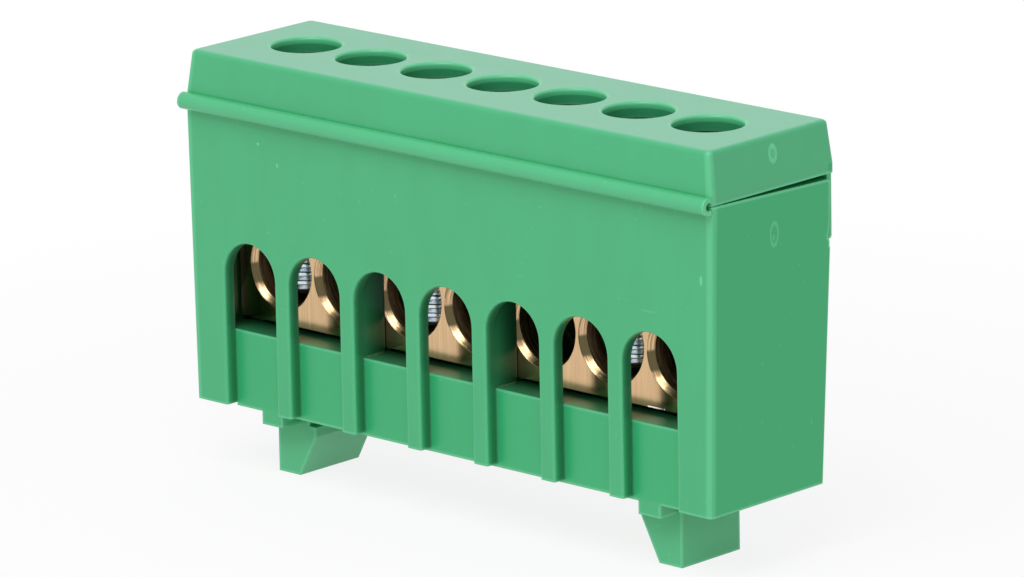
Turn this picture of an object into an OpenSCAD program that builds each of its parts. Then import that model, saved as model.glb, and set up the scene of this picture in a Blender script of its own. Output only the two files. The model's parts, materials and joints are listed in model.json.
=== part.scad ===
// Earth terminal bar: a brass bar with seven clamp screws in a one-piece green moulding.
// The moulding is a slotted housing with two rail feet, and a flip cover on a living hinge.
//
// Frame: X runs along the bar, -Y is the wire side, +Z is up. Z = 0 is the soles of the feet,
// X = 0 is the middle of the row of ways, and Y = 0 is the middle of the housing's underside.

/* [Ways] */
// Number of clamping ways
ways = 7; // [3:1:12]
// Distance between neighbouring ways
pitch = 7; // [6.8:0.1:9]
// How far the bar and its screws stand behind the middle of the housing
row_y = 0.55; // [0:0.05:0.8]

/* [Housing] */
// Housing beyond the outer ways' cells, at each end
end_margin = 2.6; // [1.8:0.1:6]
// Depth at the underside
housing_d = 12.95; // [12.6:0.05:18]
// Underside to the rim at the front
housing_h = 24.1; // [23.4:0.1:30]
// How far each end leans out by the rim
end_draft = 0.45; // [0:0.05:1]
// How far the rear leans out by the rim
rear_draft = 0.92; // [0.7:0.01:1.5]
// How much lower the rim is at the rear than at the front
rim_fall = 0.38; // [0:0.02:0.8]
// Radius of the upright corners
corner_r = 0.3; // [0.2:0.05:0.8]
// Thickness of the front wall, and depth of the panels below the windows
front_wall = 1.1; // [0.8:0.05:1.6]
// How far the front wall's lower edge hangs down behind the ribs
lip_h = 0.25; // [0.1:0.05:0.4]
// Thickness of the end walls
end_wall = 1.4; // [1:0.05:2]
// Thickness of the rear wall at the underside
rear_wall = 1.1; // [0.8:0.05:1.6]
// Thickness of the floor
floor_t = 1.2; // [0.8:0.05:2]
// Thickness of the ribs that stiffen the plinth from below
plinth_rib_t = 1.6; // [1:0.1:2]

/* [Wire windows] */
// Width of a window
window_w = 5.5; // [4.6:0.1:6]
// Height of the sill above the underside
sill_h = 6; // [4:0.1:7]
// Height of a window from its sill to the top of its arch
window_h = 7.45; // [6:0.05:9]
// Rounding of the window's edges
window_round = 0.2; // [0.1:0.05:0.5]
// Ways that have a deep partition on their left
partition_ways = [3, 5];

/* [Feet] */
// Height of the feet
foot_h = 5.6; // [4.5:0.1:8]
// Width of the rail that the feet grip
rail_w = 35; // [34.6:0.1:36]
// How far a foot's nose reaches in past the rail's edge
nose_reach = 0.3; // [0.1:0.05:0.6]
// Gap between the underside and the noses
rail_slot_h = 1.4; // [1.1:0.05:1.8]
// Play between the rail's edge and a foot
rail_play = 0.4; // [0.1:0.05:0.6]
// Width of a foot's sole
sole_w = 2.3; // [1.5:0.1:4]
// Thickness of a foot above its nose
foot_t = 3.4; // [3:0.1:5]
// Height of the upright part of a nose
nose_h = 0.8; // [0.4:0.1:1.2]
// Depth of a foot along the rail
foot_d = 6.6; // [5:0.1:9]
// Height of the ribs that brace the feet
brace_h = 1.3; // [0.6:0.1:1.4]
// Width of the ribs that brace the feet
brace_w = 2.2; // [1.2:0.1:3]
// Distance from a foot's outer face to its brace
brace_inset = 0.3; // [0:0.1:1]

/* [Cover] */
// Height of the cover above its rim
cover_h = 4.1; // [3.9:0.01:7]
// Gap between the cover's rim and the housing's, at the front
seam_gap = 0.04; // [0.02:0.01:0.3]
// How far the cover's ends stand in from the housing's
cover_end_step = 0.1; // [0:0.05:0.4]
// How far the cover's ends lean in by its top
cover_end_lean = 0.37; // [0:0.01:0.8]
// How far the cover's front leans in by its top
cover_front_lean = 0.27; // [0:0.01:0.6]
// How far the cover's rear leans in by its top
cover_rear_lean = 0.2; // [0:0.05:1.2]
// Thickness of the cover's top
cover_top_t = 1.3; // [1:0.1:1.4]
// Thickness of the cover's walls at its rim
cover_wall = 1.3; // [1:0.05:1.7]
// Rounding of the cover's top edges
cover_round = 0.35; // [0.3:0.05:0.9]
// Diameter of the access holes for the screwdriver
access_d = 5.5; // [4:0.1:5.8]
// Rounding of the access holes' rims
access_round = 0.25; // [0.1:0.05:0.5]

/* [Latch] */
// Thickness of the skirt that hangs from the cover behind the housing
skirt_t = 0.5; // [0.4:0.05:0.8]
// Length of the skirt below the cover's rim
skirt_h = 5.15; // [3:0.05:8]
// Gap between the skirt and the housing
skirt_gap = 0.08; // [0.05:0.01:0.2]
// Distance from the cover's ends to the skirt's
skirt_end = 0.3; // [0.2:0.05:3]
// Length of housing left bare below the skirt
skirt_clear = 0.6; // [0.2:0.1:2]
// Height of the snap bead along the skirt's inside
bead_h = 1; // [0.8:0.05:1.5]
// Depth of the snap bead
bead_depth = 0.25; // [0.1:0.05:0.3]

/* [Living hinge] */
// Outer radius of the folded strap
strap_r = 0.68; // [0.55:0.01:0.9]
// Thickness of the strap
strap_t = 0.35; // [0.2:0.01:0.45]
// How far the fold's centre stands in front of the housing
strap_out = 0.28; // [0.2:0.01:0.45]
// Height of the fold's centre above the housing's rim
strap_up = 0.08; // [0.05:0.01:0.3]
// Distance from the housing's ends to the strap's
strap_end = 0.05; // [0:0.05:1]

/* [Earth bar] */
// Thickness of the bar
bar_t = 6.9; // [5:0.1:7.2]
// Height of the bar
bar_h = 13; // [11:0.1:13]
// Gap at each end of the bar
bar_end_gap = 0.2; // [0.1:0.05:0.6]
// Gap between the bar and the walls that locate it
bar_side_gap = 0.05; // [0.02:0.01:0.2]
// Height of the pads that the bar stands on
pad_h = 0.35; // [0.1:0.05:0.6]
// Width of the pads
pad_w = 1.2; // [0.6:0.1:1.4]
// How far the pads end short of the bar's faces
pad_inset = 0.5; // [0:0.1:1.5]
// Diameter of the wire holes
wire_d = 6.2; // [4.5:0.1:6.2]
// Width and depth of the countersinks on the wire holes
wire_sink_w = 0.23; // [0.1:0.01:0.35]
wire_sink_h = 0.65; // [0.1:0.05:0.8]
// Height of the wire holes' centre above the sill
wire_up = 4.8; // [4.6:0.05:5.6]
// How far the snap catches reach over the bar
catch_reach = 0.35; // [0.2:0.05:0.5]
// Height of the snap catches
catch_h = 1.2; // [0.8:0.1:1.6]

/* [Clamp screws] */
// Diameter of the screws' thread
screw_d = 3.9; // [2.8:0.1:4.2]
// Radial clearance of the thread in the bar
thread_play = 0.05; // [0.02:0.01:0.1]
// Gap between a seated screw's tip and the bottom of its wire hole
tip_gap = 0.05; // [0.05:0.05:0.5]
// Length of the tapered tip
tip_h = 0.6; // [0.3:0.1:1]
// Diameter of the tip's end
tip_d = 2.4; // [1.5:0.1:2.8]
// Diameter of the heads
head_d = 5; // [4.8:0.1:5.2]
// Height of the heads
head_h = 1.8; // [1.4:0.1:1.8]
// Chamfer round the top of the heads
head_chamfer = 0.3; // [0.1:0.05:0.5]
// Width of the screwdriver slots
drive_w = 1; // [0.6:0.1:1.4]
// Depth of the screwdriver slots
drive_depth = 1; // [0.6:0.1:1.2]
// How far each screw stands above its seated place, way by way from the left
screw_lift = [0.35, 0.2, 0.05, 0.25, 3.4, 0.35, 0.1];

/* [Hidden] */
$fn = 48;
hull_fn = 32;      // fineness of rounded corners inside hulls
slab_t = 0.05;     // thickness of the slabs that hulls join
root = 0.2;        // how far a rib or foot runs into the wall that carries it
cut = 1;           // how far a cutter runs past the face it opens

moulding_green = [0.24, 0.68, 0.44];
brass = [0.80, 0.66, 0.40];
zinc = [0.66, 0.72, 0.78];

// Housing
half_l = ways * pitch / 2 + end_margin;          // at the underside
front_y = -housing_d / 2;
rear_y = housing_d / 2;                          // at the underside
rim_z = foot_h + housing_h;
sill_z = foot_h + sill_h;
arch_r = window_w / 2;
arch_z = sill_z + window_h - arch_r;             // where the arch springs
panel_y = front_y + front_wall;
inside_x = half_l - end_wall;
inside_rear_y = rear_y - rear_wall;
rib_t = pitch - window_w;

// Earth bar
bar_l = 2 * (inside_x - bar_end_gap);
bar_z = sill_z + pad_h;
bar_top_z = bar_z + bar_h;
wire_z = sill_z + wire_up;
bore_d = screw_d + 2 * thread_play;

// Cover, latch and hinge
cover_z = rim_z + seam_gap;
cover_half_l = half_l + end_draft - cover_end_step;
cover_rear_y = rear_y + rear_draft + skirt_gap;
cover_top_z = cover_z + cover_h;
skirt_in_y = cover_rear_y - skirt_t;
skirt_z = cover_z - skirt_h;
band_y = skirt_in_y - skirt_gap;                 // the housing's face behind the skirt
band_z = skirt_z - skirt_clear;
bead_z = skirt_z + bead_h;
hinge_y = front_y - strap_out;
hinge_z = rim_z + strap_up;
land_h = strap_up + strap_r;                     // upright part of the cover's front

// Clamp screws
seat_z = wire_z - sqrt(pow(wire_d / 2, 2) - pow(tip_d / 2, 2));   // where a tip's rim meets the hole
shank_l = bar_top_z - seat_z - tip_gap;

function way_x(way) = (way - (ways + 1) / 2) * pitch;

// The partitions that fall within the row of ways
partitions = [for (way = partition_ways) if (way <= ways) way];

// A slab with round corners, from x = -half_x to half_x and from y0 to y1.
module slab(half_x, y0, y1, z, t = slab_t) {
    translate([0, 0, z])
        linear_extrude(t)
            hull()
                for (x = [-1, 1], y = [y0 + corner_r, y1 - corner_r])
                    translate([x * (half_x - corner_r), y])
                        circle(corner_r, $fn = hull_fn);
}

// A block between x = -half_x and half_x.
module block(half_x, y0, y1, z0, z1) {
    translate([-half_x, y0, z0])
        cube([2 * half_x, y1 - y0, z1 - z0]);
}

// What a quarter-round of radius r takes off the corner of a wall. The corner is at the
// origin, and the wall lies towards +X and +Y.
module round_off(r) {
    difference() {
        translate([-cut, -cut])
            square(r + cut);
        translate([r, r])
            circle(r);
        translate([r, -2 * cut])
            square([r + cut, 4 * cut + r]);
        translate([-2 * cut, r])
            square([4 * cut + r, r + cut]);
    }
}

// One arched window with its rounded edges, cut from the front, and its panel below.
module window_cut(x) {
    depth = front_wall + cut;
    translate([x, front_y, 0]) {
        translate([-arch_r, -cut, sill_z])
            cube([window_w, depth + cut, arch_z - sill_z]);
        translate([0, depth, arch_z])
            rotate([90, 0, 0])
                cylinder(r = arch_r, h = depth + cut);
        translate([-arch_r, -cut, foot_h - cut])
            cube([window_w, front_wall + cut, sill_z - foot_h + 2 * cut]);
        translate([0, 0, arch_z])
            rotate([90, 0, 0])
                rotate_extrude(angle = 180)
                    translate([arch_r, 0])
                        rotate(-90)
                            round_off(window_round);
        for (side = [0, 1])
            mirror([side, 0, 0])
                translate([arch_r, 0, foot_h - cut])
                    linear_extrude(arch_z - foot_h + cut)
                        round_off(window_round);
    }
}

// The outside of the housing, leaning out towards the rim at its ends and rear.
module housing_outside() {
    hull() {
        slab(half_l, front_y, rear_y, foot_h);
        slab(half_l + end_draft, front_y, rear_y + rear_draft, rim_z + cut);
    }
}

// Everything above the rim, which falls towards the rear.
module above_rim() {
    translate([0, front_y, rim_z])
        rotate([-atan(rim_fall / (rear_y - front_y)), 0, 0])
            translate([-2 * half_l, -5 * cut, 0])
                cube([4 * half_l, 2 * housing_d + 5 * cut, 5 * cut]);
}

// The sunk band behind the cover's skirt, with the groove for its snap bead.
module skirt_band_cut() {
    run = cover_half_l + cut;
    block(run, band_y, band_y + 10 * cut, band_z, rim_z + 2 * cut);
    translate([-run, 0, 0])
        rotate([90, 0, 90])
            linear_extrude(2 * run)
                polygon([[band_y + cut, skirt_z],
                         [band_y, skirt_z],
                         [band_y - bead_depth, skirt_z + bead_depth],
                         [band_y, bead_z + skirt_gap],
                         [band_y + cut, bead_z + skirt_gap]]);
}

// A snap catch on a partition's edge that reaches over the bar, with a lead-in on top.
module bar_catch(x0, face_y, reach_dir) {
    under_z = bar_top_z + bar_side_gap;
    translate([x0, 0, 0])
        rotate([90, 0, 90])
            linear_extrude(rib_t)
                polygon([[face_y - reach_dir * root, under_z],
                         [face_y + reach_dir * (bar_side_gap + catch_reach), under_z],
                         [face_y, under_z + catch_h],
                         [face_y - reach_dir * root, under_z + catch_h]]);
}

// The walls that locate the bar, at the left of one way.
module partition(way) {
    x0 = way_x(way) - arch_r - rib_t;
    front_face = row_y - bar_t / 2 - bar_side_gap;
    rear_face = row_y + bar_t / 2 + bar_side_gap;
    top_z = bar_top_z + bar_side_gap + catch_h;
    translate([x0, panel_y - root, sill_z - root])
        cube([rib_t, front_face - panel_y + root, top_z - sill_z + root]);
    translate([x0, rear_face, sill_z - root])
        cube([rib_t, inside_rear_y - rear_face + root, top_z - sill_z + root]);
    bar_catch(x0, front_face, 1);
    bar_catch(x0, rear_face, -1);
}

// The pads that the bar stands on: one under each partition and one near each end.
module bar_pads() {
    ends = [for (side = [-1, 1]) side * (bar_l / 2 - pad_w)];
    inner = [for (way = partitions) way_x(way) - pitch / 2];
    for (x = concat(ends, inner))
        translate([x - pad_w / 2, row_y - bar_t / 2 + pad_inset, sill_z - root])
            cube([pad_w, bar_t - 2 * pad_inset, pad_h + root]);
}

// The front wall's lower edge, which hangs down behind the ribs of the windows.
module front_lip() {
    block(way_x(ways) + arch_r, panel_y, panel_y + front_wall, foot_h - lip_h, foot_h + root);
}

// The hollow of the plinth, open below and crossed by a rib between each two ways.
module plinth_cut() {
    top = sill_z - floor_t;
    gap = pitch - plinth_rib_t;
    for (way = [1 : ways])
        translate([way_x(way) - gap / 2, panel_y + front_wall, foot_h - cut])
            cube([gap, inside_rear_y - panel_y - front_wall, top - foot_h + cut]);
}

// One rail foot at the right end: an outer leg with a sloping nose that snaps over the rail.
module foot() {
    nose_x = rail_w / 2 - nose_reach;
    slot_x = rail_w / 2 + rail_play;
    outer_x = slot_x + foot_t;
    nose_z = foot_h - rail_slot_h - nose_h;
    translate([0, foot_d / 2, 0])
        rotate([90, 0, 0])
            linear_extrude(foot_d)
                polygon([[outer_x, foot_h + root],
                         [outer_x, 0],
                         [outer_x - sole_w, 0],
                         [nose_x, nose_z],
                         [nose_x, nose_z + nose_h],
                         [slot_x, nose_z + nose_h],
                         [slot_x, foot_h + root]]);
    translate([outer_x - brace_w - brace_inset, panel_y, foot_h - brace_h])
        cube([brace_w, inside_rear_y - panel_y, brace_h + root]);
}

module housing() {
    color(moulding_green) {
        difference() {
            housing_outside();
            above_rim();
            block(inside_x, panel_y, inside_rear_y, sill_z, rim_z + 2 * cut);
            for (way = [1 : ways])
                window_cut(way_x(way));
            skirt_band_cut();
            plinth_cut();
        }
        for (way = partitions)
            partition(way);
        bar_pads();
        front_lip();
        for (side = [0, 1])
            mirror([side, 0, 0])
                foot();
    }
}

// The outside of the cover: upright where the hinge joins it, then leaning in to a rounded top.
module cover_outside() {
    steps = 4;
    round_z = cover_top_z - cover_round;
    hull() {
        slab(cover_half_l, front_y, cover_rear_y, cover_z, land_h);
        for (i = [0 : steps]) {
            turn = 90 * i / steps;
            inset = cover_round * (1 - cos(turn));
            slab(cover_half_l - cover_end_lean - inset,
                 front_y + cover_front_lean + inset,
                 cover_rear_y - cover_rear_lean - inset,
                 round_z + cover_round * sin(turn) - slab_t);
        }
    }
}

// One access hole with its rounded rim.
module access_cut(x) {
    translate([x, row_y, cover_z])
        cylinder(d = access_d, h = cover_h + cut);
    translate([x, row_y, cover_top_z])
        rotate_extrude()
            translate([access_d / 2, 0])
                mirror([0, 1])
                    round_off(access_round);
}

// The skirt behind the housing, with the snap bead along its inside.
module skirt() {
    run = cover_half_l - skirt_end;
    soft = skirt_t / 2;
    translate([-run, 0, 0])
        rotate([90, 0, 90])
            linear_extrude(2 * run) {
                translate([skirt_in_y, skirt_z + soft])
                    square([skirt_t, skirt_h - soft + root]);
                translate([skirt_in_y, skirt_z])
                    square([soft, 2 * soft]);
                translate([skirt_in_y + soft, skirt_z + soft])
                    circle(soft);
                polygon([[skirt_in_y + root, skirt_z + skirt_gap],
                         [skirt_in_y, skirt_z + skirt_gap],
                         [skirt_in_y - bead_depth, skirt_z + bead_depth + skirt_gap],
                         [skirt_in_y, bead_z],
                         [skirt_in_y + root, bead_z]]);
            }
}

module cover() {
    inner_x = cover_half_l - cover_wall;
    color(moulding_green) {
        difference() {
            cover_outside();
            block(inner_x, front_y + cover_wall, skirt_in_y - cover_wall + skirt_t,
                  cover_z - cut, cover_top_z - cover_top_t);
            for (way = [1 : ways])
                access_cut(way_x(way));
        }
        skirt();
    }
}

// The strap between the two front edges, folded outwards into a loop.
module hinge_strap() {
    run = half_l + end_draft - strap_end;
    color(moulding_green)
        translate([-run, 0, 0])
            rotate([90, 0, 90])
                linear_extrude(2 * run)
                    difference() {
                        translate([hinge_y, hinge_z])
                            circle(strap_r);
                        translate([hinge_y, hinge_z])
                            circle(strap_r - strap_t);
                        translate([front_y, hinge_z - 2 * strap_r])
                            square(4 * strap_r);
                        translate([hinge_y, rim_z])
                            square([2 * strap_r, strap_up + seam_gap]);
                    }
}

module earth_bar() {
    color(brass)
        difference() {
            block(bar_l / 2, row_y - bar_t / 2, row_y + bar_t / 2, bar_z, bar_top_z);
            for (way = [1 : ways]) {
                translate([way_x(way), row_y, wire_z])
                    wire_hole();
                translate([way_x(way), row_y, wire_z])
                    cylinder(d = bore_d, h = bar_top_z - wire_z + cut);
            }
        }
}

// A wire hole through the bar, countersunk at both faces, about the origin.
module wire_hole() {
    rotate([90, 0, 0])
        cylinder(d = wire_d, h = bar_t + 2 * cut, center = true);
    for (side = [-1, 1])
        rotate([-90 * side, 0, 0])
            translate([0, 0, bar_t / 2 - wire_sink_h])
                cylinder(r1 = wire_d / 2, r2 = wire_d / 2 + 2 * wire_sink_w, h = 2 * wire_sink_h);
}

// A slotted clamp screw in its way, as far above its seat as screw_lift says.
module clamp_screw(way) {
    head_z = bar_top_z + screw_lift[(way - 1) % len(screw_lift)];
    color(zinc)
        translate([way_x(way), row_y, head_z])
            difference() {
                union() {
                    translate([0, 0, -shank_l])
                        cylinder(d1 = tip_d, d2 = screw_d, h = tip_h);
                    translate([0, 0, tip_h - shank_l])
                        cylinder(d = screw_d, h = shank_l - tip_h + root);
                    cylinder(d = head_d, h = head_h - head_chamfer);
                    translate([0, 0, head_h - head_chamfer])
                        cylinder(d1 = head_d, d2 = head_d - 2 * head_chamfer, h = head_chamfer);
                }
                translate([-head_d, -drive_w / 2, head_h - drive_depth])
                    cube([2 * head_d, drive_w, drive_depth + cut]);
            }
}

housing();
cover();
hinge_strap();
earth_bar();
for (way = [1 : ways])
    clamp_screw(way);
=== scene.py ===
"""Dresses the packed earth terminal bar with finishes, a folded strap and threaded screws.

Meshes and cameras are in metres, and the finishes measure in millimetres.
"""

import json
import math

import bmesh
import bpy
import numpy as np
from mathutils import Matrix, Vector


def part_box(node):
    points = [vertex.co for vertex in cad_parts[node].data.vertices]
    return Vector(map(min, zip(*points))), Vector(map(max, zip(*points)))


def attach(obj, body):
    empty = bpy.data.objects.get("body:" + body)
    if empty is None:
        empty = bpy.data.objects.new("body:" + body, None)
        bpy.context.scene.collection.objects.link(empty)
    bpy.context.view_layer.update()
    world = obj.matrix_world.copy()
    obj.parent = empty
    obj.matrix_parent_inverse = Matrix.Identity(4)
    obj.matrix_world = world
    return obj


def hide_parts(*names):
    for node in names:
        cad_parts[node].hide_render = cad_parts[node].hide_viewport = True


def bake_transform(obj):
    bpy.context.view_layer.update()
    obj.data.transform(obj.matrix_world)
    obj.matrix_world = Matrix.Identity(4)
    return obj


bl_info = {
    "name": "Earth Terminal Bar",
    "version": (1, 0, 0),
    "blender": (4, 5, 0),
    "location": "View3D > Sidebar > Terminal Bar",
    "description": "Finishes a seven-way earth terminal bar and sets it in a plain studio",
    "category": "Object",
}

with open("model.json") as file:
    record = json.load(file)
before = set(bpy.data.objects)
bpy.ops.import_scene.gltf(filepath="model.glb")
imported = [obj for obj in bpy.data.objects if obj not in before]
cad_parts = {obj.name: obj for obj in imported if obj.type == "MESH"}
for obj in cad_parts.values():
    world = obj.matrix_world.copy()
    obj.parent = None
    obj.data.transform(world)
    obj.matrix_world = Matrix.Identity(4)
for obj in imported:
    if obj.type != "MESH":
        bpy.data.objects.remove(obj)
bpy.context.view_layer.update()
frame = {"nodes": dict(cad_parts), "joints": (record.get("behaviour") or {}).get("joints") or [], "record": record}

MM = 0.001
SCREWS = sorted(name for name in frame["nodes"] if name.startswith("screw_"))
MOULDINGS = ("housing", "cover")


# ---------------------------------------------------------------- places, from the frame


def middle(node):
    """The middle of a node's box."""
    low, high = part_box(node)
    return (Vector(low) + Vector(high)) / 2


def joint(name):
    """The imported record's joint of that name."""
    return next(j for j in frame["joints"] if j["name"] == name)


def mount(name):
    """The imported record's mount of that name."""
    return next(m for m in frame["record"]["mounts"] if m["name"] == name)


def opening(name):
    """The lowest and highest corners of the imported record's opening of that name."""
    openings = frame["record"]["physics"]["openings"]
    return [Vector(corner) for corner in next(o for o in openings if o["name"] == name)["box_m"]]


HINGE = Vector(joint("cover_hinge")["pos_m"])

# In millimetres, for the finishes
PITCH = (middle("screw_2").x - middle("screw_1").x) / MM
WAYS_END = 3.5 * PITCH
WIRE_AXIS_Z = Vector(mount("wire_entry_4")["pos_m"]).z / MM
SCREW_AXIS_Y = mount("access_4")["pos_m"][1] / MM
HINGE_Z = HINGE.z / MM
WINDOW = opening("wire_window_4")
WINDOW_HALF, ARCH_Z, SILL_Z = WINDOW[1].x / MM, WINDOW[1].z / MM, WINDOW[0].z / MM
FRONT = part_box("housing")[0][1] / MM
WALL_FOOT = opening("rail_gap")[1].z / MM + 0.3
COVER_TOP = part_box("cover")[1][2] / MM
COVER_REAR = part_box("cover")[1][1] / MM
BAR = [Vector(corner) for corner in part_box("earth_bar")]
BAR_FRONT, BAR_REAR, BAR_FOOT = BAR[0].y / MM, BAR[1].y / MM, BAR[0].z / MM


# ---------------------------------------------------------------- shader expressions


class Shade:
    """Builds the nodes of a material or a world.

    Its Value objects turn Python expressions into Math nodes.
    """

    def __init__(self, owner, output="ShaderNodeOutputMaterial"):
        self.owner = owner
        self.owner.use_nodes = True
        self.tree = self.owner.node_tree
        self.tree.nodes.clear()
        self.output = self.node(output)

    def node(self, kind, settings=None, **inputs):
        """Adds a node and sets its settings, then its inputs by name or by number, as in _0."""
        made = self.tree.nodes.new(kind)
        for key, value in (settings or {}).items():
            setattr(made, key, value)
        for key, value in inputs.items():
            by_number = key[1:].isdigit()
            self.feed(made.inputs[int(key[1:]) if by_number else key.replace("_", " ")], value)
        return made

    def feed(self, socket, value):
        """Links a Value to a socket, or sets a plain number or colour on it."""
        if isinstance(value, Value):
            self.tree.links.new(value.socket, socket)
        else:
            socket.default_value = value

    def value(self, kind, output=0, settings=None, **inputs):
        """Adds a node and wraps one of its outputs."""
        return Value(self, self.node(kind, settings, **inputs).outputs[output])

    def place(self):
        """Object coordinates in millimetres, as a vector and as x, y and z."""
        coords = self.value("ShaderNodeTexCoord", "Object")
        scaled = self.value("ShaderNodeVectorMath", 0, {"operation": "SCALE"},
                            _0=coords, Scale=1 / MM)
        split = self.node("ShaderNodeSeparateXYZ", Vector=scaled)
        return scaled, [Value(self, split.outputs[i]) for i in range(3)]

    def stretched(self, coords, sx, sy, sz):
        """Coordinates scaled by a factor along each axis."""
        return self.value("ShaderNodeVectorMath", 0, {"operation": "MULTIPLY"},
                          _0=coords, _1=(sx, sy, sz))

    def noise(self, coords, scale, detail=2.0, rough=0.5):
        """Smooth noise from 0 to 1, with scale cycles per unit of coords."""
        return self.value("ShaderNodeTexNoise", 0, {"noise_dimensions": "3D"}, Vector=coords,
                          Scale=scale, Detail=detail, Roughness=rough)

    def mix(self, factor, first, second):
        """A colour between first and second."""
        return self.value("ShaderNodeMix", 2, {"data_type": "RGBA"}, _0=factor, _6=first, _7=second)

    def bump(self, height, distance, normal=None):
        """A normal bent by a height, which counts in units of distance."""
        inputs = {"Height": height, "Distance": distance, "Strength": 1.0}
        if normal is not None:
            inputs["Normal"] = normal
        return self.value("ShaderNodeBump", 0, **inputs)

    def seen(self):
        """1 for rays from the camera, and for those that a gloss or a glass sends on."""
        path = self.node("ShaderNodeLightPath")
        camera, gloss, glass = (Value(self, path.outputs[f"Is {kind} Ray"])
                                for kind in ("Camera", "Glossy", "Transmission"))
        return camera.at_least(gloss).at_least(glass)

    def finish(self, shader):
        """Feeds the output with a shader."""
        self.feed(self.output.inputs[0], shader)
        return self.owner

    def surface(self, **inputs):
        """A Principled surface that feeds the output."""
        return self.finish(self.value("ShaderNodeBsdfPrincipled", **inputs))


class Value:
    """A shader socket that can be used in Python arithmetic."""

    def __init__(self, shade, socket):
        self.shade = shade
        self.socket = socket

    def math(self, operation, *others):
        """One Math node on this value and the others."""
        inputs = {f"_{i}": value for i, value in enumerate((self, *others))}
        return self.shade.value("ShaderNodeMath", 0, {"operation": operation}, **inputs)

    def reversed_math(self, operation, other):
        """One Math node with the other value first."""
        return self.shade.value("ShaderNodeMath", 0, {"operation": operation}, _0=other, _1=self)

    def __add__(self, other):
        return self.math("ADD", other)

    def __radd__(self, other):
        return self.reversed_math("ADD", other)

    def __sub__(self, other):
        return self.math("SUBTRACT", other)

    def __rsub__(self, other):
        return self.reversed_math("SUBTRACT", other)

    def __mul__(self, other):
        return self.math("MULTIPLY", other)

    def __rmul__(self, other):
        return self.reversed_math("MULTIPLY", other)

    def __truediv__(self, other):
        return self.math("DIVIDE", other)

    def __abs__(self):
        return self.math("ABSOLUTE")

    def step(self, low, high):
        """0 below low, 1 above high, and smooth between. Falls instead where low is over high."""
        rising = low < high
        return self.shade.value("ShaderNodeMapRange", 0,
                                {"interpolation_type": "SMOOTHSTEP", "clamp": True},
                                _0=self, _1=min(low, high), _2=max(low, high),
                                _3=0.0 if rising else 1.0, _4=1.0 if rising else 0.0)

    def root(self):
        """Square root."""
        return self.math("SQRT")

    def at_least(self, low):
        """The larger of this value and another."""
        return self.math("MAXIMUM", low)

    def at_most(self, high):
        """The smaller of this value and another."""
        return self.math("MINIMUM", high)


# ---------------------------------------------------------------- meshes


def mesh_object(name, points, faces):
    """A mesh object from an array of points in metres and a list of faces."""
    mesh = bpy.data.meshes.new(name)
    mesh.from_pydata(points.tolist(), [], faces)
    mesh.update()
    made = bpy.data.objects.new(name, mesh)
    bpy.context.scene.collection.objects.link(made)
    return made


def ring_faces(rows, columns):
    """Quads between neighbouring rows of points, each row closed into a ring."""
    row, column = np.meshgrid(np.arange(rows - 1), np.arange(columns), indexing="ij")
    after = (column + 1) % columns
    quads = np.stack([row * columns + column, row * columns + after,
                      (row + 1) * columns + after, (row + 1) * columns + column], axis=-1)
    return quads.reshape(-1, 4).tolist()


def apply_modifiers(made):
    """Bakes an object's modifiers into its mesh."""
    graph = bpy.context.evaluated_depsgraph_get()
    mesh = bpy.data.meshes.new_from_object(made.evaluated_get(graph))
    made.modifiers.clear()
    made.data = mesh


def smooth_by_angle(made, degrees):
    """Smooth shading, with edges sharper than the angle kept crisp."""
    mesh = made.data
    mesh.polygons.foreach_set("use_smooth", [True] * len(mesh.polygons))
    mesh.set_sharp_from_angle(angle=math.radians(degrees))


def fix_normals(made):
    """Points every face outwards."""
    shell = bmesh.new()
    shell.from_mesh(made.data)
    bmesh.ops.recalc_face_normals(shell, faces=shell.faces)
    shell.to_mesh(made.data)
    shell.free()


def dress(node, material):
    """Gives a carried-over node one material."""
    slots = frame["nodes"][node].data.materials
    slots.clear()
    slots.append(material)


# ---------------------------------------------------------------- settings


class MouldingSettings(bpy.types.PropertyGroup):
    """The green moulding's finish."""

    colour: bpy.props.FloatVectorProperty(
        name="Colour", description="Colour of the plastic", subtype="COLOR", size=3,
        default=(0.055, 0.445, 0.19), min=0, max=1)
    # Painted highlights on the edges, front corners and ejector rings, painted bounce light on the feet and
    # painted light on the access holes' upper walls, together with the real scuffs, nicks and bent strap
    pale_colour: bpy.props.FloatVectorProperty(
        name="Pale colour", description="Colour of worn edges, scuffs and the bent strap",
        subtype="COLOR", size=3,
        default=(0.14, 0.66, 0.33), min=0, max=1)
    # Painted sheen: the cover's top is lightened in place of its glossy reflection
    top_colour: bpy.props.FloatVectorProperty(
        name="Top colour", description="Colour of the cover's hazy top", subtype="COLOR", size=3,
        default=(0.105, 0.475, 0.27), min=0, max=1)
    # Painted shade: a darker green on the housing's ends, which catch less reflected light, and on the recessed
    # panels below the windows
    end_colour: bpy.props.FloatVectorProperty(
        name="End colour", description="Colour of the housing's ends and, in part, of its panels",
        subtype="COLOR", size=3,
        default=(0.018, 0.42, 0.147), min=0, max=1)
    # Painted shade in the windows' sides, the hollow behind them and the access holes' lower walls
    deep_colour: bpy.props.FloatVectorProperty(
        name="Deep colour", description="Colour deep inside the hollows", subtype="COLOR", size=3,
        default=(0.004, 0.04, 0.013), min=0, max=1)
    roughness: bpy.props.FloatProperty(
        name="Roughness", description="Roughness of the moulded skin", default=0.30, min=0, max=1)
    # The edge rounding also sets the width of the painted edge highlights
    edge_round: bpy.props.FloatProperty(
        name="Edge rounding", description="Soft look of the moulded edges", default=0.00022,
        min=0, max=0.001, unit="LENGTH", precision=5)


class StrapSettings(bpy.types.PropertyGroup):
    """The living hinge's folded strap."""

    thickness: bpy.props.FloatProperty(
        name="Thickness", description="Thickness of the strap", default=0.00035,
        min=0.0001, max=0.0006, unit="LENGTH", precision=5)
    steps: bpy.props.IntProperty(
        name="Steps", description="Steps round the fold", default=40, min=8, max=120)


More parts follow.
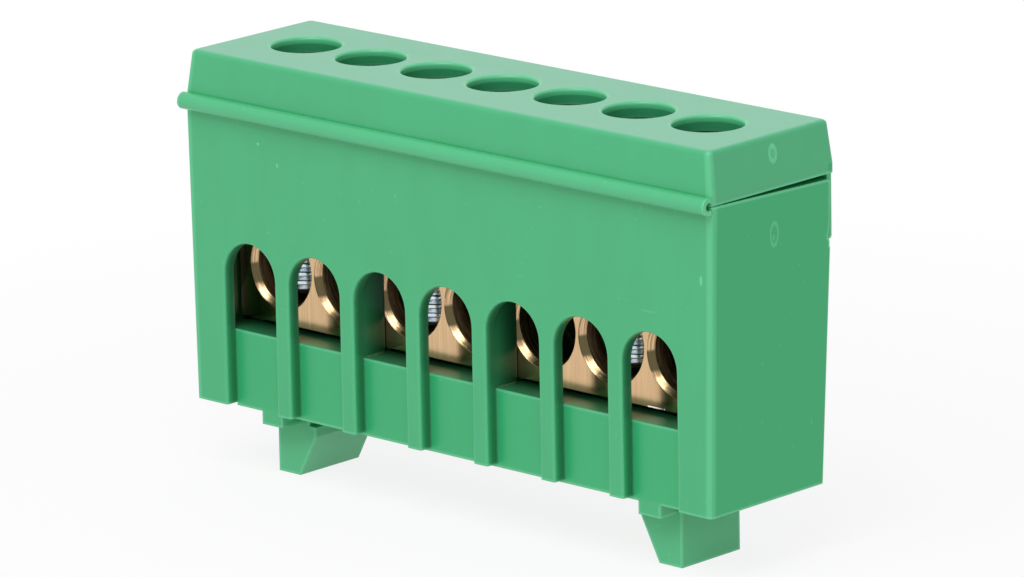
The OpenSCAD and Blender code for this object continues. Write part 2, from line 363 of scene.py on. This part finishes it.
class BarSettings(bpy.types.PropertyGroup):
    """The brass bar's finish."""

    colour: bpy.props.FloatVectorProperty(
        name="Colour", description="Colour of the brass", subtype="COLOR", size=3,
        default=(0.74, 0.505, 0.28), min=0, max=1)
    roughness: bpy.props.FloatProperty(
        name="Roughness", description="Roughness of the drawn faces", default=0.13, min=0, max=1)
    grain: bpy.props.FloatProperty(
        name="Grain", description="Depth of the drawn grain in millimetres", default=0.004,
        min=0, max=0.05)
    flare: bpy.props.FloatProperty(
        name="Flare", description="How much wider than cut the countersinks look, as a slope",
        default=0.52, min=0, max=1)


class ScrewSettings(bpy.types.PropertyGroup):
    """The clamp screws."""

    thread_pitch: bpy.props.FloatProperty(
        name="Thread pitch", description="Rise of the thread in one turn", default=0.0007,
        min=0.0004, max=0.001, unit="LENGTH", precision=5)
    thread_depth: bpy.props.FloatProperty(
        name="Thread depth", description="Depth of the thread", default=0.0003,
        min=0.0001, max=0.0006, unit="LENGTH", precision=5)
    slot_width: bpy.props.FloatProperty(
        name="Slot width", description="Width of the screwdriver slot", default=0.001,
        min=0.0005, max=0.0015, unit="LENGTH", precision=5)
    slot_depth: bpy.props.FloatProperty(
        name="Slot depth", description="Depth of the screwdriver slot", default=0.001,
        min=0.0005, max=0.0012, unit="LENGTH", precision=5)


class StudioSettings(bpy.types.PropertyGroup):
    """Light, floor and camera."""

    world: bpy.props.FloatProperty(
        name="World", description="Strength of the world's light", default=0.55, min=0, max=2)
    key: bpy.props.FloatProperty(
        name="Key", description="Power of the key lamp", default=1.1, min=0, max=20)
    azimuth: bpy.props.FloatProperty(
        name="Azimuth", description="Camera's turn about Z in degrees", default=43.0956)
    elevation: bpy.props.FloatProperty(
        name="Elevation", description="Camera's height in degrees", default=14.6666)
    roll: bpy.props.FloatProperty(
        name="Roll", description="Camera's roll in degrees", default=-1.0227)
    distance: bpy.props.FloatProperty(
        name="Distance", description="Camera to target", default=0.62464, unit="LENGTH")
    lens: bpy.props.FloatProperty(
        name="Lens", description="Focal length in millimetres", default=284.95)


# ---------------------------------------------------------------- finishes


def oval(first, second, centre, radii):
    """Distance from a centre in two of the coordinates, as a share of an oval's half-axes."""
    across = (first - centre[0]) / radii[0]
    up = (second - centre[1]) / radii[1]
    return (across * across + up * up).root()


def between(value, low, high, soft):
    """1 between low and high, and 0 outside them by more than soft."""
    return value.step(low - soft, low) * value.step(high + soft, high)


def cell_place(x):
    """How far a point stands to the right of its way's middle."""
    return ((x / PITCH + 0.5).math("FRACT") - 0.5) * PITCH


def from_way(x, other):
    """Distance from a way's middle, given x and the distance from it along Y or Z."""
    across = cell_place(x)
    return (across * across + other * other).root()


def hollow_shade_mask(x, y, z):
    """How much painted shade a point of the housing gets in its windows' sides or in the hollow behind them."""
    half = WINDOW_HALF + 0.05
    away = from_way(x, (z - ARCH_Z).at_least(0.0))
    sides = between(away, half - 0.04, half + 0.04, 0.06)
    sides = sides * abs(x).step(3.6 * PITCH, 3.55 * PITCH)
    sides = sides * z.step(ARCH_Z + 3.1, ARCH_Z + 3.0) * z.step(WALL_FOOT, WALL_FOOT + 0.1)
    sides = sides * y.step(FRONT + 0.08, FRONT + 0.75) * y.step(FRONT + 1.3, FRONT + 1.2)
    behind = between(y, FRONT + 1.15, 5.5, 0.1) * between(z, SILL_Z - 0.1, HINGE_Z - 0.6, 0.1)
    behind = behind * abs(x).step(25.9, 25.75)
    depth = y.step(FRONT + 1.0, FRONT + 3.6)
    return (sides * 0.55).at_least(behind * (depth * 0.42 + 0.5))


# Ovals as a centre and two half-axes: on the right end in Y and Z, on the front in X and Z
# The ejector rings carry painted highlight, brightest in the peak and heart ovals
UPPER_RING, UPPER_PEAK = ((0.75, 32.42), (0.38, 0.60)), ((0.78, 32.95), (0.16, 0.26))
LOWER_RING, LOWER_HEART = ((0.55, 26.3), (0.42, 0.86)), ((0.50, 26.02), (0.17, 0.34))
NICKS = (((-19.62, 27.38), (0.17, 0.13)), ((-17.6, 25.93), (0.11, 0.22)),
         ((26.36, 23.93), (0.16, 0.42)))
SCRATCH = ((21.0, 20.7), (0.95, 0.12))


def moulding_marks(x, y, z):
    """Two ejector rings on the right end, lightened with painted highlight, and a few nicks and a scratch on the
    front.
    """
    end = x.step(26.9, 27.0)
    ring, peak, lower, heart = (oval(y, z, *mark)
                                for mark in (UPPER_RING, UPPER_PEAK, LOWER_RING, LOWER_HEART))
    marks = end * (abs(ring - 1.0).step(0.45, 0.15) * 0.85 + ring.step(1.0, 0.8) * 0.35
                   + peak.step(1.0, 0.4) * 0.6)
    marks = marks + end * (abs(lower - 1.0).step(0.3, 0.1) * 0.55 + heart.step(1.0, 0.4) * 0.5)
    front = y.step(FRONT + 0.3, FRONT + 0.2)
    for nick in NICKS:
        marks = marks + front * oval(x, z, *nick).step(1.2, 0.6)
    return marks + front * oval(x, z, *SCRATCH).step(1.2, 0.4) * 0.3


# The mouldings' walls: the housing's ends and corners lean out, the cover's draw in above its rim
LEAN = 0.0178
HOUSING_END, HOUSING_FOOT, HOUSING_RIM, COVER_RIM = 27.10, 5.6, 29.7, 30.5
END_DRAFT, CORNER_DRAFT = 0.107, 0.2
CORNER_REACH, CORNER_TOP = 33.23, 25.0
SKIRT_INSET, SKIRT_FOOT = 0.3, 25.2


def corner_highlight_mask(x, y, z):
    """1 in a narrow band along the two upright front corners, where a highlight is painted."""
    reach = z.at_most(CORNER_TOP) * LEAN + CORNER_REACH
    reach = reach - (z - COVER_RIM).at_least(0.0) * CORNER_DRAFT
    return (abs(x) - y - reach).step(-0.42, -0.12) * between(y, FRONT - 0.03, -5.8, 0.1)


def end_mask(x, y, z):
    """1 on the housing's two ends and the skirt's.

    The cover's own ends lie 0.08 mm inside this plane, so most of them stay at 0.
    """
    reach = (z.at_most(HOUSING_RIM) - HOUSING_FOOT) * LEAN + HOUSING_END
    reach = reach - (z - COVER_RIM).at_least(0.0) * END_DRAFT
    skirt = y.step(COVER_REAR - 0.75, COVER_REAR - 0.6) * z.step(COVER_RIM, COVER_RIM - 0.1)
    skirt = skirt * z.step(SKIRT_FOOT, SKIRT_FOOT + 0.1)
    return (abs(x) - reach + skirt * SKIRT_INSET).step(-0.06, -0.02)


def over_ways(x):
    """1 over the seven ways, and 0 beyond them."""
    return abs(x).step(WAYS_END + 0.05 * PITCH, WAYS_END)


def access_masks(x, y, z):
    """1 on the rounded upper part of the cover's access holes, where light is painted, and 1 on the shaded wall
    below, where shade is painted.
    """
    wall = from_way(x, y - SCREW_AXIS_Y).step(3.1, 2.9) * over_ways(x)
    lit_lead_in = wall * z.step(COVER_TOP - 0.6, COVER_TOP - 0.35)
    return lit_lead_in, wall * between(z, COVER_TOP - 1.4, COVER_TOP - 0.6, 0.1)


def moulding_material(settings):
    """Satin green plastic with a fine skin and a few moulding marks, painted highlights on its edges and corners,
    painted bounce light on the feet, a painted sheen on the top, and painted shade on the ends, panels and
    hollows.
    """
    shade = Shade(bpy.data.materials.new("green_moulding"))
    coords, (x, y, z) = shade.place()
    skin = shade.noise(coords, 7.0, 3.0, 0.6)
    flow = shade.noise(shade.stretched(coords, 0.35, 0.35, 0.12), 1.0, 2.0, 0.5)
    specks = shade.noise(coords, 1.9, 1.0, 0.4).step(0.765, 0.785)
    rounded = shade.value("ShaderNodeBevel", 0, {"samples": 6}, Radius=settings.edge_round)
    # Painted highlight: convex edges, found by occlusion inside the mesh, are lightened below
    edges = 1.0 - shade.value("ShaderNodeAmbientOcclusion", 1,
                              {"inside": True, "only_local": True, "samples": 8},
                              Distance=settings.edge_round * 1.2)
    ends = end_mask(x, y, z)
    strap = y.step(FRONT - 0.02, FRONT - 0.12) * abs(z - HINGE_Z).step(0.9, 0.8)
    marks = moulding_marks(x, y, z)
    lit_lead_in, shaded = access_masks(x, y, z)
    ways = over_ways(x)
    sill = between(z, SILL_Z - 0.02, SILL_Z + 0.1, 0.03) * between(y, FRONT + 0.2, FRONT + 1.3, 0.1)
    sill = sill * ways
    panels = between(y, FRONT + 1.0, FRONT + 1.3, 0.3) * between(z, WALL_FOOT, SILL_Z + 0.1, 0.1)
    panels = panels * ways
    top = z.step(COVER_TOP - 0.1, COVER_TOP - 0.03)
    # Painted bounce light from the floor, low on the feet
    foot_bounce_light = z.step(4.8, 1.5)
    rim_gap = ends * z.step(29.8, 30.1)
    # pale gathers painted highlights and painted light with the real pale of scuffs, the strap, nicks and specks
    pale = edges.step(0.03, 0.34) * 0.85 + corner_highlight_mask(x, y, z) * 0.4 + foot_bounce_light * 0.35
    pale = pale + lit_lead_in * 0.6 + strap * 0.2 + marks * 0.75 + specks * 0.2
    hollow = hollow_shade_mask(x, y, z).at_least(rim_gap * 0.09).at_least(shaded * 0.35)
    tone = shade.mix(flow.step(0.3, 0.7), (*[c * 0.96 for c in settings.colour], 1),
                     (*settings.colour, 1))
    # Painted shade on the ends and, more lightly, on the recessed panels
    tone = shade.mix(ends.at_least(panels * 0.55), tone, (*settings.end_colour, 1))
    # Painted sheen on the top
    tone = shade.mix(top, tone, (*settings.top_colour, 1))
    tone = shade.mix(pale.at_most(1.0), tone, (*settings.pale_colour, 1))
    # Painted shade in the hollows, with a faint darkening at the rim's seam
    tone = shade.mix(hollow, tone, (*settings.deep_colour, 1))
    height = skin * 0.004 + flow * 0.02 + marks * 0.02
    return shade.surface(
        Base_Color=tone,
        Roughness=flow * 0.06 + skin * 0.06 + sill * 0.6 + (settings.roughness - 0.06),
        Normal=shade.bump(height, MM, rounded),
        IOR=1.5,
    )


COPPER_TINT = (0.78, 0.47, 0.28, 1)
HOLE_SHADE_TONE = (0.10, 0.07, 0.04, 1)
TURNING_TONE = (0.16, 0.11, 0.055, 1)
RIM_SHADE_TONE = (0.10, 0.085, 0.04, 1)
EDGE_GLINT_TONE = (1.0, 0.93, 0.80, 1)
COUNTERSINK_R, COUNTERSINK_DEPTH = 3.36, 0.6
EDGE_GLINT_SPAN = (17.7, 19.3)


def brass_material(settings):
    """Drawn brass with upright grain and turned countersinks, with painted shade on the wire holes' walls and the
    countersinks' lower rims, and a painted reflection along the bar's lower edge.
    """
    shade = Shade(bpy.data.materials.new("drawn_brass"))
    coords, (x, y, z) = shade.place()
    across = cell_place(x)
    up = z - WIRE_AXIS_Z
    from_face = (BAR_REAR - BAR_FRONT) / 2 - abs(y - (BAR_REAR + BAR_FRONT) / 2)
    hole = from_way(x, up).step(COUNTERSINK_R + 0.06, COUNTERSINK_R)
    inside = hole * from_face.step(COUNTERSINK_DEPTH, COUNTERSINK_DEPTH + 0.12)
    grain = shade.noise(shade.stretched(coords, 6.0, 6.0, 0.16), 1.0, 4.0, 0.65)
    bands = shade.noise(shade.stretched(coords, 1.6, 1.6, 0.05), 1.0, 2.0, 0.5)
    turned = shade.noise(shade.stretched(coords, 0.3, 8.0, 0.3), 1.0, 3.0, 0.6)
    lines = shade.value("ShaderNodeMix", 0, {"data_type": "FLOAT"}, _0=hole, _2=grain, _3=turned)
    # Painted shade on the lower side of each countersink's rim
    rim = hole * from_face.step(COUNTERSINK_DEPTH + 0.12, COUNTERSINK_DEPTH)
    rim = rim * across.step(0.2, -0.2) * between(up, -1.5, -0.2, 0.3)
    above = z - BAR_FOOT
    # Painted reflection: a bright streak along the bar's lower front edge in one way, where the bump also tilts
    # the normal
    edge_glint = between(x, *EDGE_GLINT_SPAN, 0.15) * above.step(0.16, 0.12) * y.step(0.0, -0.1)
    tone = shade.mix(lines.step(0.34, 0.68), (*[c * 0.82 for c in settings.colour], 1),
                     (*settings.colour, 1))
    tone = shade.mix(bands.step(0.4, 0.7) * 0.3, tone, COPPER_TINT)
    # Painted shade deeper down the wire holes
    tone = shade.mix(inside * from_face.step(1.2, 3.2) * 0.7, tone, HOLE_SHADE_TONE)
    tone = shade.mix(hole * turned.step(0.56, 0.46) * 0.55, tone, TURNING_TONE)
    tone = shade.mix(rim * 0.95, tone, RIM_SHADE_TONE)
    tone = shade.mix(edge_glint, tone, EDGE_GLINT_TONE)
    edge = shade.value("ShaderNodeBevel", 0, {"samples": 4}, Radius=0.08 * MM)
    flare = hole * from_face.at_least(0.0).at_most(0.65) * settings.flare
    return shade.surface(
        Base_Color=tone,
        Metallic=1.0,
        Roughness=lines * 0.10 + inside * 0.15 + settings.roughness,
        Normal=shade.bump(lines * settings.grain + flare - edge_glint * above * 0.25, MM, edge),
    )


def zinc_material():
    """Bright zinc plating with a bluish cast and faint dull patches."""
    shade = Shade(bpy.data.materials.new("zinc_plating"))
    coords, _ = shade.place()
    patches = shade.noise(coords, 1.2, 2.0, 0.5)
    fine = shade.noise(coords, 9.0, 2.0, 0.5)
    tone = shade.mix(patches.step(0.35, 0.7), (0.62, 0.70, 0.78, 1), (0.80, 0.85, 0.90, 1))
    return shade.surface(
        Base_Color=tone,
        Metallic=1.0,
        Roughness=patches * 0.08 + fine * 0.05 + 0.15,
        Normal=shade.bump(fine * 0.002, MM),
    )


# ---------------------------------------------------------------- operators


class DressMouldings(bpy.types.Operator):
    """Give the housing and the cover their moulded plastic."""

    bl_idname = "terminal_bar.dress_mouldings"
    bl_label = "Housing and Cover"

    def execute(self, context):
        plastic = moulding_material(context.scene.bar_moulding)
        for node in MOULDINGS:
            dress(node, plastic)
        return {"FINISHED"}


def strap_section(settings):
    """The fold's two ends along X, and its section's points in Y and in Z.

    The section is an arc about the hinge axis from the housing's front edge round to the cover's,
    at the outer and then the inner radius, so that its points go once round the strap's wall.
    """
    low, high = (Vector(corner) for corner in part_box("hinge_strap"))
    outer = HINGE.y - low.y
    inner = outer - settings.thickness
    reach = high.y - HINGE.y
    half = [math.pi - math.acos(-reach / r) if r > reach else 0.0 for r in (outer, inner)]
    turn = np.linspace(half[0], 2 * math.pi - half[0], settings.steps)
    back = np.linspace(2 * math.pi - half[1], half[1], settings.steps)
    angle = np.concatenate([turn, back])
    radius = np.concatenate([np.full(settings.steps, outer), np.full(settings.steps, inner)])
    section_y = HINGE.y + radius * np.cos(angle)
    section_z = HINGE.z + radius * np.sin(angle)
    return low.x, high.x, section_y, section_z


STRAP_STATIONS = 40


class BuildStrap(bpy.types.Operator):
    """Build the living hinge's folded strap."""

    bl_idname = "terminal_bar.build_strap"
    bl_label = "Living Hinge"

    def execute(self, context):
        settings = context.scene.bar_strap
        x0, x1, section_y, section_z = strap_section(settings)
        count = len(section_y)
        grid = np.empty((STRAP_STATIONS, count, 3))
        grid[..., 0] = np.linspace(x0, x1, STRAP_STATIONS)[:, None]
        grid[..., 1] = section_y[None, :]
        grid[..., 2] = section_z[None, :]
        faces = ring_faces(STRAP_STATIONS, count)
        for start, flip in ((0, True), ((STRAP_STATIONS - 1) * count, False)):
            for i in range(settings.steps - 1):
                ring = [start + i, start + i + 1, start + count - 2 - i, start + count - 1 - i]
                faces.append(ring[::-1] if flip else ring)
        strap = mesh_object("hinge_strap_folded", grid.reshape(-1, 3), faces)
        fix_normals(strap)
        smooth_by_angle(strap, 50)
        strap.data.materials.append(bpy.data.materials["green_moulding"])
        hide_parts("hinge_strap")
        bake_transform(strap)
        return {"FINISHED"}


class DressBar(bpy.types.Operator):
    """Give the terminal bar its drawn brass."""

    bl_idname = "terminal_bar.dress_bar"
    bl_label = "Brass Bar"

    def execute(self, context):
        dress("earth_bar", brass_material(context.scene.bar_brass))
        return {"FINISHED"}


HEAD_H = 1.8 * MM
HEAD_ROUNDING = 0.18 * MM
HEAD_CHAMFER = 0.08 * MM
HEAD_RELIEF = 0.03 * MM
SHANK_R = 1.95 * MM
TIP_R, TIP_SLOPE = 1.2 * MM, 1.25
THREAD_TOP = -0.15 * MM
THREAD_CREST = 2.6  # higher makes the thread's crests flatter and its grooves narrower
POINTS_AROUND, ROWS_PER_PITCH = 56, 10
SLOT_TURN = 2.4  # radians from one screw's slot to the next one's


def screw_surface(settings, head_r, length):
    """A threaded screw about Z, with its head's underside near z = 0.

    The profile runs from the tip's middle up the shank, out under the head and in over its top.
    A small relief under the head keeps it clear of the bar when the screw is home.
    The shank's radius follows the phase z / pitch - turn / 2 pi, so that the thread is one helix.
    """
    around = POINTS_AROUND
    pitch, depth = settings.thread_pitch, settings.thread_depth
    shank_z = np.linspace(-length, THREAD_TOP, int(length / pitch * ROWS_PER_PITCH))
    theta = np.linspace(0, 2 * math.pi, around, endpoint=False)
    z_grid, theta_grid = np.meshgrid(shank_z, theta, indexing="ij")
    phase = (z_grid / pitch - theta_grid / (2 * math.pi)) % 1.0
    radius = SHANK_R - depth * np.abs(2 * phase - 1) ** THREAD_CREST
    radius = np.minimum(radius, TIP_R + TIP_SLOPE * (z_grid + length))
    rows = [np.stack([radius * np.cos(theta_grid), radius * np.sin(theta_grid), z_grid], axis=-1)]
    head = [(SHANK_R, HEAD_RELIEF), (head_r - HEAD_CHAMFER, HEAD_RELIEF),
            (head_r, HEAD_RELIEF + HEAD_CHAMFER)]
    side_r, side_h = head_r - HEAD_ROUNDING, HEAD_H - HEAD_ROUNDING
    head += [(side_r + HEAD_ROUNDING * math.cos(a), side_h + HEAD_ROUNDING * math.sin(a))
             for a in np.linspace(0, math.pi / 2, 5)]
    head += [(head_r * share, HEAD_H) for share in (0.75, 0.4)]
    for r, z in head:
        ring = np.stack([r * np.cos(theta), r * np.sin(theta), np.full(around, z)], axis=-1)
        rows.append(ring[None])
    tip = rows[0][:1].copy()
    tip[..., :2] *= 0.5
    points = np.concatenate([tip] + rows).reshape(-1, 3)
    count = len(points)
    faces = ring_faces(count // around, around)
    points = np.vstack([points, [[0, 0, -length], [0, 0, HEAD_H]]])
    for i in range(around):
        after = (i + 1) % around
        faces.append([count, after, i])
        faces.append([count + 1, count - around + i, count - around + after])
    return points, faces


def slot_cutter(settings, head_r, turn):
    """A block that cuts the screwdriver slot across the head, turned about Z."""
    half = np.array([head_r * 1.5, settings.slot_width / 2, settings.slot_depth])
    corners = np.array([[i, j, k] for i in (-1, 1) for j in (-1, 1) for k in (-1, 1)]) * half
    corners[:, 2] += HEAD_H
    c, s = math.cos(turn), math.sin(turn)
    corners[:, :2] = corners[:, :2] @ np.array([[c, s], [-s, c]])
    faces = [[0, 1, 3, 2], [4, 6, 7, 5], [0, 4, 5, 1], [2, 3, 7, 6], [0, 2, 6, 4], [1, 5, 7, 3]]
    return corners, faces


class BuildScrews(bpy.types.Operator):
    """Build the threaded clamp screws, each in its way."""

    bl_idname = "terminal_bar.build_screws"
    bl_label = "Clamp Screws"

    def execute(self, context):
        settings = context.scene.bar_screw
        zinc = zinc_material()
        low, high = (Vector(corner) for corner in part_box(SCREWS[0]))
        head_r = (high.x - low.x) / 2
        length = high.z - low.z - HEAD_H
        points, faces = screw_surface(settings, head_r, length)
        for number, node in enumerate(SCREWS):
            place = middle(node)
            offset = np.array([place.x, place.y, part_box(node)[1][2] - HEAD_H])
            screw = mesh_object(f"{node}_threaded", points + offset, faces)
            cutter_points, cutter_faces = slot_cutter(settings, head_r, number * SLOT_TURN)
            cutter = mesh_object("slot_cutter", cutter_points + offset, cutter_faces)
            cut = screw.modifiers.new("slot", "BOOLEAN")
            cut.operation, cut.solver, cut.object = "DIFFERENCE", "EXACT", cutter
            apply_modifiers(screw)
            bpy.data.objects.remove(cutter)
            smooth_by_angle(screw, 35)
            screw.data.materials.clear()
            screw.data.materials.append(zinc)
            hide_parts(node)
            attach(screw, node)
        return {"FINISHED"}


def area_lamp(name, place, target, size, power):
    """A square soft lamp that faces a target."""
    data = bpy.data.lights.new(name, "AREA")
    data.shape, data.size, data.energy = "SQUARE", size, power
    lamp = bpy.data.objects.new(name, data)
    lamp.location = place
    lamp.rotation_euler = (Vector(target) - Vector(place)).to_track_quat("-Z", "Y").to_euler()
    bpy.context.scene.collection.objects.link(lamp)


def floor_material():
    """A matt white floor that glows a little, more so away from the part and its faint shadow."""
    shade = Shade(bpy.data.materials.new("white_floor"))
    _, (x, y, _) = shade.place()
    far = (x * x + y * y).root().step(45.0, 110.0)
    matt = shade.value("ShaderNodeBsdfDiffuse", Color=(0.90, 0.90, 0.90, 1))
    plain = shade.value("ShaderNodeEmission", Color=(1, 1, 1, 1), Strength=1.0)
    share = shade.seen() * (far * 0.15 + 0.60) + 0.25
    return shade.finish(shade.value("ShaderNodeMixShader", _0=share, _1=matt, _2=plain))


def white_world(strength):
    """A world that lights the part plainly, and is white where the camera or a gloss sees it."""
    shade = Shade(bpy.data.worlds.new("studio"), "ShaderNodeOutputWorld")
    level = shade.seen() * (1.0 - strength) + strength
    return shade.finish(shade.value("ShaderNodeBackground", Color=(1, 1, 1, 1), Strength=level))


def camera_turn(azimuth, elevation, roll):
    """A camera's axes: back from the target, then right and up turned by the roll."""
    a, e, r = (math.radians(v) for v in (azimuth, elevation, roll))
    back = Vector((math.sin(a) * math.cos(e), -math.cos(a) * math.cos(e), math.sin(e)))
    right = Vector((math.cos(a), math.sin(a), 0))
    up = back.cross(right)
    rolled = math.cos(r) * right + math.sin(r) * up
    upward = -math.sin(r) * right + math.cos(r) * up
    return back, Matrix((rolled, upward, back)).transposed()


FLOOR_HALF, FLOOR_DROP = 1.5, 0.02 * MM
LAMP_PLACE, LAMP_TARGET, LAMP_SIZE = (0.066, -0.247, 0.387), (0, 0, 0.017), 0.30
CAMERA_TARGET = Vector((0.00060, 0.000535, 0.01767))


class BuildStudio(bpy.types.Operator):
    """Build the floor, the lights and the camera."""

    bl_idname = "terminal_bar.build_studio"
    bl_label = "Studio"

    def execute(self, context):
        scene = context.scene
        settings = scene.bar_studio
        corners = np.array([[-1, -1, 0], [1, -1, 0], [1, 1, 0], [-1, 1, 0]]) * FLOOR_HALF
        floor = mesh_object("floor", corners + [0, 0, -FLOOR_DROP], [[0, 1, 2, 3]])
        floor.data.materials.append(floor_material())
        scene.world = white_world(settings.world)
        area_lamp("key", LAMP_PLACE, LAMP_TARGET, LAMP_SIZE, settings.key)
        back, turn = camera_turn(settings.azimuth, settings.elevation, settings.roll)
        data = bpy.data.cameras.new("camera")
        data.sensor_width, data.lens = 36, settings.lens
        data.clip_start, data.clip_end = 0.01, 20
        camera = bpy.data.objects.new("camera", data)
        place = CAMERA_TARGET + back * settings.distance
        camera.matrix_world = Matrix.Translation(place) @ turn.to_4x4()
        scene.collection.objects.link(camera)
        scene.camera = camera
        scene.view_settings.view_transform = "Standard"
        return {"FINISHED"}


class TERMINALBAR_PT_panel(bpy.types.Panel):
    """Lists the part's pieces and their settings."""

    bl_label = "Earth Terminal Bar"
    bl_space_type = "VIEW_3D"
    bl_region_type = "UI"
    bl_category = "Terminal Bar"

    def draw(self, context):
        scene = context.scene
        for operator, name in zip(OPERATORS, SETTINGS):
            group = getattr(scene, name)
            box = self.layout.box()
            box.operator(operator.bl_idname)
            for setting in group.__annotations__:
                box.prop(group, setting)


SETTINGS = {
    "bar_moulding": MouldingSettings,
    "bar_strap": StrapSettings,
    "bar_brass": BarSettings,
    "bar_screw": ScrewSettings,
    "bar_studio": StudioSettings,
}
OPERATORS = (DressMouldings, BuildStrap, DressBar, BuildScrews, BuildStudio)


def register():
    """Registers the settings, the operators and the panel."""
    for name, group in SETTINGS.items():
        bpy.utils.register_class(group)
        setattr(bpy.types.Scene, name, bpy.props.PointerProperty(type=group))
    for cls in (*OPERATORS, TERMINALBAR_PT_panel):
        bpy.utils.register_class(cls)


def unregister():
    """Takes back what register added."""
    for cls in reversed((*OPERATORS, TERMINALBAR_PT_panel)):
        bpy.utils.unregister_class(cls)
    for name, group in reversed(SETTINGS.items()):
        delattr(bpy.types.Scene, name)
        bpy.utils.unregister_class(group)


def main():
    """Builds the whole scene."""
    register()
    for operator in OPERATORS:
        group, name = operator.bl_idname.split(".")
        getattr(getattr(bpy.ops, group), name)()


if __name__ == "__main__":
    main()
